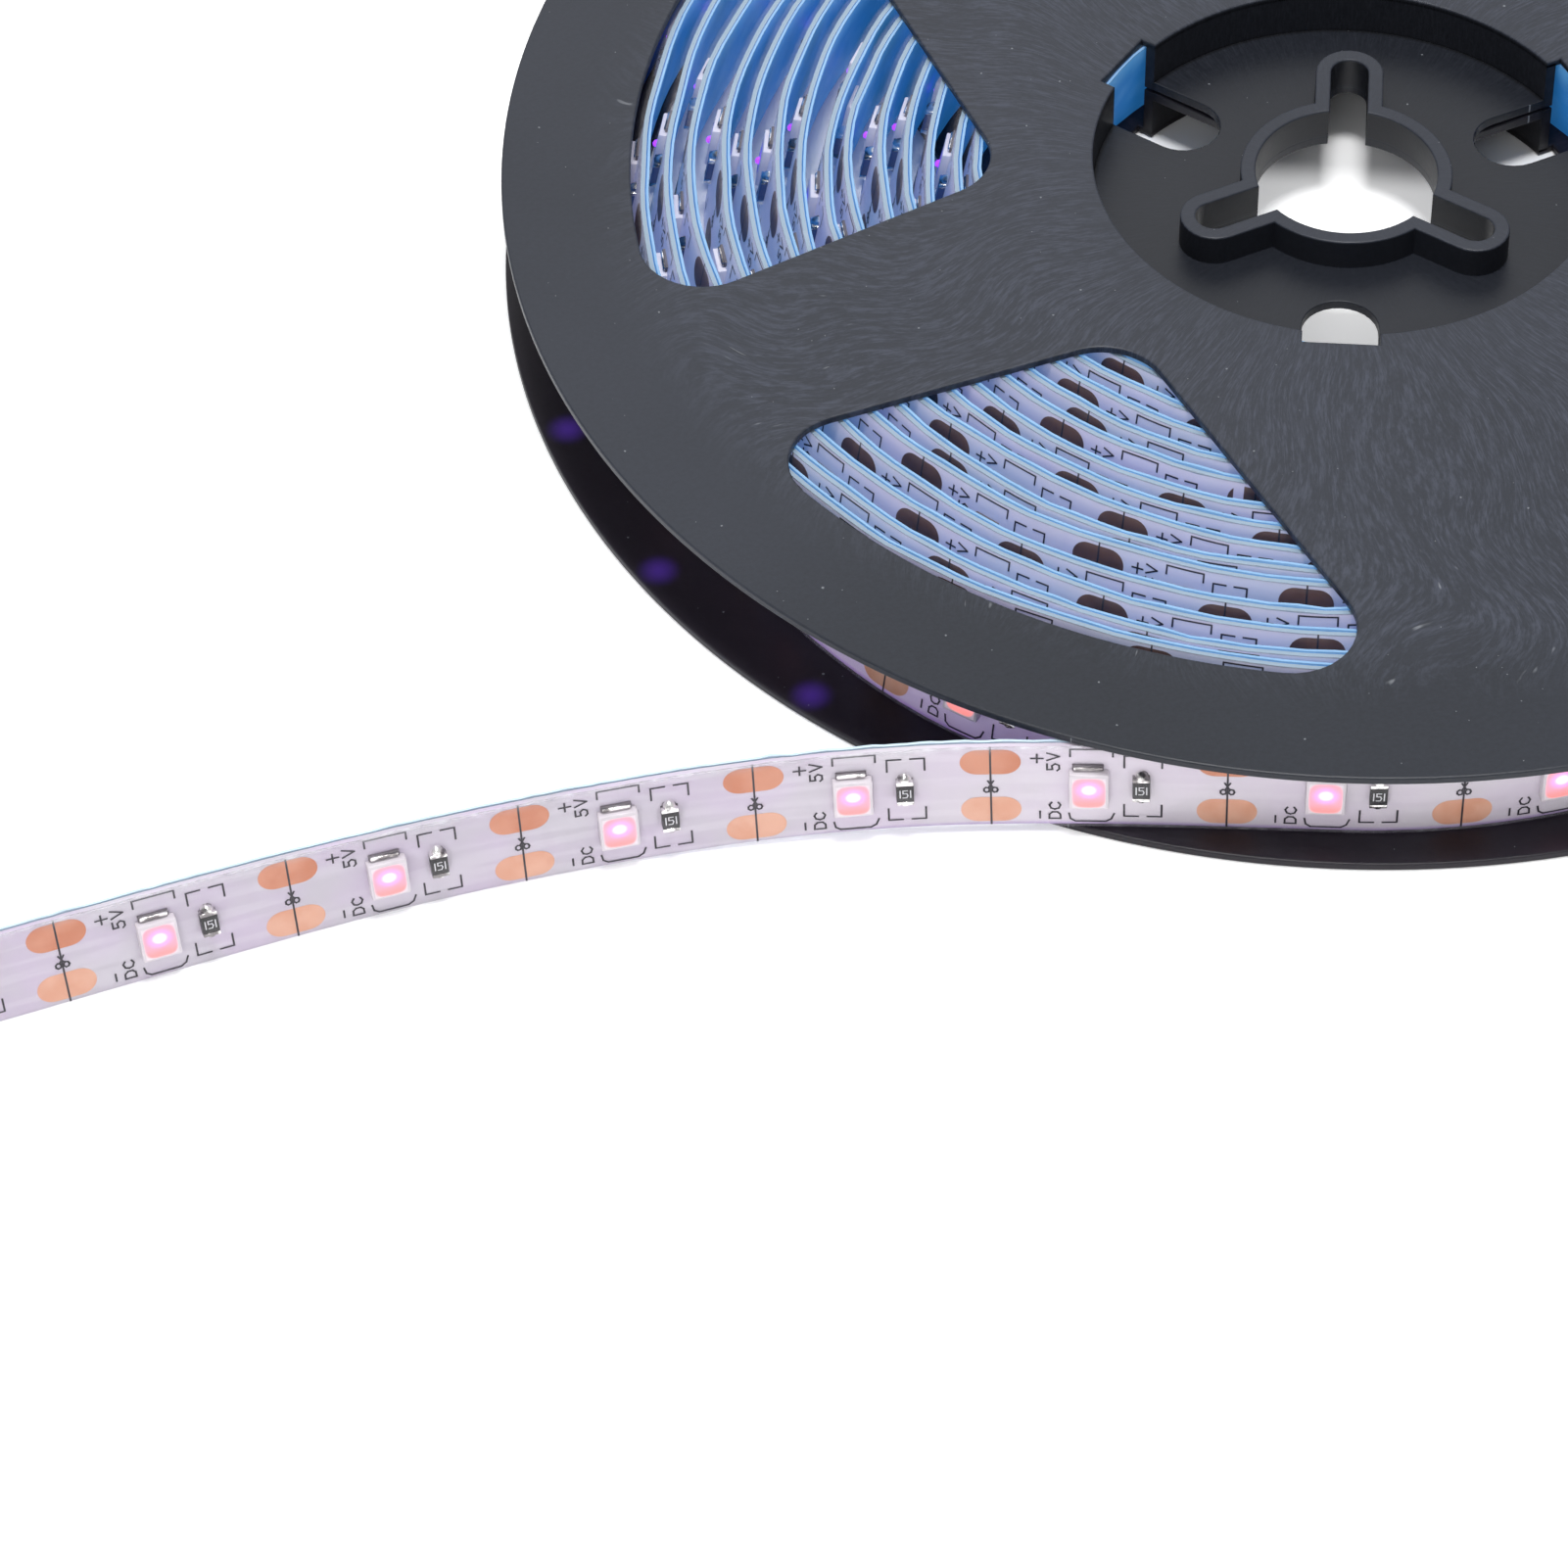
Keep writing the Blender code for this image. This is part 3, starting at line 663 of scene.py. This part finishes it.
# Copies a small shape, given as (along, up) points and depths, onto a run of units.
def scatter(name, shape, depths, finish, units, uv=None):
    flat, faces = shape
    count = len(flat)
    origin = np.array([unit * strip["unit"] for unit in units])
    s = (origin[:, None] + flat[None, :, 0]).ravel()
    points = onStrip(np.clip(s, 0.02, strip["length"] - 1.0), np.tile(flat[:, 1], len(origin)),
                     np.tile(np.broadcast_to(depths, count), len(origin)))
    allFaces = [tuple(i + k * count for i in face) for k in range(len(origin)) for face in faces]
    everyUv = None if uv is None else np.tile(uv, (len(origin), 1))
    return meshPiece(name, points, allFaces, finish, uv=everyUv)


def inkFinish():
    made = Finish("printInk", {"Roughness": 0.45})
    spot = made.noise(made.coords(), 900.0, 2.0)
    made.set("Base Color", made.mix(spot, srgb(18, 14, 24), srgb(42, 34, 48)))
    return made


def copperFinish(name, first, second):
    made = Finish(name, {})
    cloud = made.noise(made.coords(), 420.0, 3.0)
    made.set("Base Color", made.mix(cloud.step(0.3, 0.7), srgb(*first), srgb(*second)))
    made.set("Roughness", 0.3 + cloud * 0.2)
    return made


scatter("inkMarks", strokeShape(unitPrint, ink["line"]), face + lifts["ink"], inkFinish(), cutLines)
for label, side, first, second in (("upper", 1, (190, 116, 84), (202, 136, 108)),
                                   ("lower", -1, (208, 148, 120), (216, 164, 140))):
    shape, depth = padShape(side * pads["up"], pads["height"], pads["reach"]), face + lifts["pad"]
    scatter(label + "Pads", shape, depth, copperFinish(label + "Copper", first, second), outerUnits)
    shaded = copperFinish(label + "ShadedCopper", (78, 50, 44), (104, 70, 58))
    scatter(label + "PadsWound", shape, depth, shaded, shadedLines)
print("print", flush=True)


lamp = {
    "at": 6.9, "up": -0.1, "length": 2.8, "width": 3.5, "low": face + 0.02, "high": 0.70, "edge": 0.1,
    "litDown": 0.05, "litRim": 0.2, "dimRim": 0.5, "litSteps": 8, "dimSteps": 4,
    "sparkDown": 0.3, "spark": (0.3, 0.34), "sparkHigh": 0.34,
}
# Solder round a lamp, and under the upper tab a dark plate of painted shade: offset along and up, length,
# width, height and edge.
tabs = {
    "lampSolder": (-0.05, 2.05, 2.05, 0.34, 0.40, 0.10),
    "lampSolderShade": (-0.05, 2.05, 2.2, 0.50, 0.26, 0.05),
    "lampSolderLow": (0.0, -1.95, 1.9, 0.35, 0.3, 0.05),
}
chip = {"at": 10.6, "length": 1.24, "width": 1.62, "low": face + 0.02, "high": 0.58, "edge": 0.05,
        "cap": 0.34, "capOver": 0.02, "capEdge": 0.06, "blobOut": 0.05, "blob": (0.5, 0.42)}


# A block with softened edges on its outer face, as flat points plus depths.
def boxShape(s, w, length, width, low, high, bevel):
    shape = bmesh.new()
    bmesh.ops.create_cube(shape, size=1.0)
    bmesh.ops.scale(shape, vec=(length, width, high - low), verts=shape.verts)
    bmesh.ops.translate(shape, vec=(s, w, (high + low) / 2), verts=shape.verts)
    edges = [edge for edge in shape.edges if max(vert.co.z for vert in edge.verts) > (high + low) / 2]
    bmesh.ops.bevel(shape, geom=edges, offset=bevel, segments=2, profile=0.5, affect="EDGES")
    shape.verts.index_update()
    flat = np.array([(vert.co.x, vert.co.y) for vert in shape.verts])
    depth = np.array([vert.co.z for vert in shape.verts])
    faces = [tuple(vert.index for vert in face.verts) for face in shape.faces]
    shape.free()
    return (flat, faces), depth


# The lit face: a white-hot die, a coloured halo, the tinted rest of the phosphor and its warm foot.
def lampFinish(name, tones, power):
    die, halo, phosphor, foot = (srgb(*tone) for tone in tones)
    made = Finish(name, {"Roughness": 0.3, "Emission Strength": power})
    u, v = made.parts(made.coords("UV"))[:2]
    away = ((u - 0.5) ** 2 + ((v - 0.60) * 1.35) ** 2) ** 0.5
    tone = made.mix(away.step(0.15, 0.27), die, halo)
    tone = made.mix(away.step(0.22, 0.50), tone, phosphor)
    tone = made.mix(v.step(0.36, 0.08) * away.step(0.25, 0.45) * 0.8, tone, foot)
    rim = (((u - 0.5) * 2) ** 4 + ((v - 0.5) * 2) ** 4).step(0.62, 1.15)
    made.set("Base Color", made.mix(rim, (0.22, 0.12, 0.16), srgb(214, 206, 212)))
    made.set("Emission Color", made.mix(rim, tone, (0.10, 0.06, 0.08)))
    return made


# Two tones in a fine cloud, for the small plain pieces.
def plainFinish(name, tone, other, glow=(0.0, 0.0, 0.0)):
    made = Finish(name, {"Roughness": 0.35, "Emission Color": (*glow, 1.0), "Emission Strength": 1.0})
    cloud = made.noise(made.coords(), 700.0, 2.0)
    made.set("Base Color", made.mix(cloud, srgb(*tone), srgb(*other)))
    return made


def solderFinish():
    made = Finish("solder", {"Metallic": 1.0})
    cloud = made.noise(made.coords(), 900.0, 2.0)
    made.set("Base Color", made.mix(cloud.step(0.40, 0.56), srgb(132, 128, 128), srgb(248, 246, 244)))
    made.set("Roughness", 0.12 + cloud * 0.2)
    made.bump(cloud, 0.5, 0.0002)
    return made


# The part of a lamp's face inside its rim, in small steps, with its own 0 to 1 coordinates.
def lampFace(rim, count):
    shape = bmesh.new()
    bmesh.ops.create_grid(shape, x_segments=count, y_segments=count, size=0.5)
    shape.verts.index_update()
    spread = np.array([(vert.co.x, vert.co.y) for vert in shape.verts])
    faces = [tuple(vert.index for vert in face.verts) for face in shape.faces]
    shape.free()
    length, width = lamp["length"] - 2 * rim, lamp["width"] - 2 * (rim + lamp["litDown"])
    centre = (lamp["at"], lamp["up"] - lamp["litDown"])
    return (spread * (length, width) + centre, faces), spread + 0.5


# A low dome, as flat points plus depths.
def roundShape(s, w, radii, low, high, count, rings):
    points, depth, faces = [(s, w)], [high], []
    for r in range(1, rings + 1):
        a = r / rings * pi / 2
        for i in range(count):
            t = 2 * pi * i / count
            points.append((s + radii[0] * sin(a) * cos(t), w + radii[1] * sin(a) * sin(t)))
            depth.append(low + (high - low) * cos(a))
    faces += [(0, 1 + i, 1 + (i + 1) % count) for i in range(count)]
    for r in range(rings - 1):
        base = 1 + r * count
        faces += [(base + i, base + count + i, base + count + (i + 1) % count, base + (i + 1) % count)
                  for i in range(count)]
    return (np.array(points), faces), np.array(depth)


def makeLamps():
    body = boxShape(lamp["at"], lamp["up"], lamp["length"], lamp["width"],
                    lamp["low"], lamp["high"], lamp["edge"])
    housing = plainFinish("lampHousing", (214, 206, 212), (202, 194, 202))
    lampBodies = scatter("lampBodies", *body, housing, outerUnits)
    # Painted light: the housings on the shaded turns are lighter and glow faintly.
    housing = plainFinish("lampHousingWound", (226, 222, 226), (212, 206, 214), (0.06, 0.06, 0.09))
    scatter("lampBodiesWound", *body, housing, shadedLamps)
    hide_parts(*[f"lamp_{i}" for i in range(1, 9)])

    shape, uv = lampFace(lamp["litRim"], lamp["litSteps"])
    pink = lampFinish("pinkGlow", ((255, 250, 255), (248, 168, 246), (255, 154, 172), (255, 134, 112)), 0.95)
    scatter("lampFaces", shape, lamp["high"] + lifts["glow"], pink, outerUnits, uv=uv)
    shape, uv = lampFace(lamp["dimRim"], lamp["dimSteps"])
    violet = lampFinish("violetGlow", ((150, 90, 255), (80, 84, 230), (66, 70, 180), (58, 62, 150)), 0.8)
    scatter("lampFacesWound", shape, lamp["high"] + lifts["glow"], violet, shadedLamps, uv=uv)
    shape, depth = roundShape(lamp["at"], lamp["up"] - lamp["sparkDown"], lamp["spark"], lamp["high"],
                              lamp["high"] + lamp["sparkHigh"], 8, 2)
    spark = lampFinish("violetSpark", ((150, 50, 255), (140, 50, 255), (130, 50, 255), (120, 50, 255)), 1.7)
    scatter("lampSparks", shape, depth, spark, shadedLamps, uv=np.full((len(shape[0]), 2), 0.55))


def makeTabs(solder):
    shade = plainFinish("tabShade", (104, 98, 104), (84, 78, 84))
    for label, (along, up, length, width, high, edge) in tabs.items():
        tab = boxShape(lamp["at"] + along, lamp["up"] + up, length, width, skin, high, edge)
        scatter(label, *tab, shade if label == "lampSolderShade" else solder, lampUnits)


def makeChips(solder):
    body = boxShape(chip["at"], 0.0, chip["length"], chip["width"], chip["low"], chip["high"], chip["edge"])
    chips = scatter("chipBodies", *body, plainFinish("chipBlack", (14, 13, 16), (26, 24, 28)), outerUnits)
    # Painted shade, with a faint painted blue glow, for the chips on the shaded turns.
    shaded = plainFinish("chipShaded", (24, 34, 72), (36, 48, 96), (0.01, 0.02, 0.06))
    scatter("chipBodiesWound", *body, shaded, shadedLamps)
    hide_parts(*[f"resistor_{i}" for i in range(1, 9)])
    end = chip["width"] / 2 + chip["cap"]
    for label, side, tall in (("chipCapUpper", 1, 0.66), ("chipCapLower", -1, 0.5)):
        cap = boxShape(chip["at"], side * (end - chip["cap"] / 2), chip["length"], chip["cap"],
                       chip["low"], chip["high"] + chip["capOver"], chip["capEdge"])
        scatter(label, *cap, solder, lampUnits)
        blob = roundShape(chip["at"], side * (end + chip["blobOut"]), chip["blob"], face, tall, 10, 3)
        scatter(label + "Blob", *blob, solder, lampUnits)
    digits = [
        [(10.24, -0.36), (10.24, 0.36)],
        [(10.77, 0.36), (10.45, 0.36), (10.45, 0.06), (10.72, 0.06), (10.79, -0.14), (10.70, -0.36),
         (10.43, -0.36)],
        [(10.98, -0.36), (10.98, 0.36)],
    ]
    shape = strokeShape(digits, ink["digitLine"])
    white = plainFinish("digitWhite", (220, 220, 224), (190, 190, 196))
    scatter("chipDigits", shape, chip["high"] + lifts["digit"], white, outerUnits)


solder = solderFinish()
makeLamps()
makeTabs(solder)
makeChips(solder)
print("lamps", flush=True)


stage = {
    "floor": 4.0, "sunk": 0.00005, "world": 0.58, "worldTone": (0.98, 0.99, 1.0, 1.0),
    "outside": (62.5, 64.0), "outsideGlow": 0.3,
    "hollow": (19.5, 19.0), "hollowSide": (10.5, 7.0), "hollowGlow": 0.40,
}


# Pale table that glows faintly outside the reel, and inside the hub as painted light except towards its
# back.
def makeFloor():
    shape = bmesh.new()
    bmesh.ops.create_grid(shape, x_segments=1, y_segments=1, size=stage["floor"])
    bmesh.ops.translate(shape, vec=(0, 0, -stage["sunk"]), verts=shape.verts)
    mesh = bpy.data.meshes.new("floor")
    shape.to_mesh(mesh)
    shape.free()
    made = Finish("tableWhite", {"Roughness": 0.7, "Emission Strength": 1.0})
    cloud = made.noise(made.coords(), 3.0)
    made.set("Base Color", made.mix(cloud, (0.90, 0.90, 0.905), (0.93, 0.93, 0.93)))
    x, y = made.parts(made.coords())[:2]
    x = (x - axisX * mm) * toMm
    y = y * toMm
    radius = (x * x + y * y) ** 0.5
    # Painted light inside the hub, fading to painted shade towards its back.
    hollow = radius.step(*stage["hollow"]) * (x * 0.52 + y * 0.854).step(*stage["hollowSide"])
    glow = radius.step(*stage["outside"]) * stage["outsideGlow"] + hollow * stage["hollowGlow"]
    made.set("Emission Color", made.mix(glow, (0.0, 0.0, 0.0), (1.0, 1.0, 1.0)))
    mesh.materials.append(made.material)
    floor = bpy.data.objects.new("floor", mesh)
    bpy.context.scene.collection.objects.link(floor)


lights = {
    "backLight": {"place": (0.35, 0.85, 0.75), "size": 0.8, "power": 2.0},
    "frontLight": {"place": (-0.75, -0.8, 0.7), "size": 0.8, "power": 4.0},
    "topLight": {"place": (-0.02, -0.07, 0.9), "size": 0.24, "power": 5.5},
}
lightTarget = Vector((0.03, 0, 0))


def areaLight(name, place, size, power):
    light = bpy.data.lights.new(name, "AREA")
    light.shape, light.size, light.energy = "DISK", size, power
    item = bpy.data.objects.new(name, light)
    item.location = place
    item.rotation_euler = (lightTarget - Vector(place)).to_track_quat("-Z", "Y").to_euler()
    bpy.context.scene.collection.objects.link(item)


def makeWorld():
    world = bpy.data.worlds.new("studio")
    bpy.context.scene.world = world
    world.use_nodes = True
    background = world.node_tree.nodes["Background"]
    background.inputs["Color"].default_value = stage["worldTone"]
    background.inputs["Strength"].default_value = stage["world"]


# The place is in mm from the reel's axis.
view = {"lens": 157.4, "sensor": 36.0, "near": 0.01, "far": 20.0, "place": (-203.3, -333.5, 358.84),
        "pitch": radians(47.137), "roll": radians(-0.688), "turn": radians(-25.0)}


def makeCamera():
    camera = bpy.data.objects.new("camera", bpy.data.cameras.new("camera"))
    camera.data.lens, camera.data.sensor_width = view["lens"], view["sensor"]
    camera.data.clip_start, camera.data.clip_end = view["near"], view["far"]
    pitch, roll = view["pitch"], view["roll"]
    forward = Vector((0, cos(pitch), -sin(pitch)))
    up, right = Vector((0, sin(pitch), cos(pitch))), Vector((1, 0, 0))
    across = right * cos(roll) + up * sin(roll)
    upright = up * cos(roll) - right * sin(roll)
    turn = Matrix.Rotation(view["turn"], 3, "Z")
    matrix = Matrix([turn @ axis for axis in (across, upright, -forward)]).transposed().to_4x4()
    x, y, z = view["place"]
    matrix.translation = Vector((x + axisX, y, z)) * mm
    camera.matrix_world = matrix
    bpy.context.scene.collection.objects.link(camera)
    bpy.context.scene.camera = camera


makeFloor()
makeWorld()
for name, values in lights.items():
    areaLight(name, **values)
makeCamera()
bpy.context.scene.view_settings.view_transform = "Standard"
print("stage", flush=True)
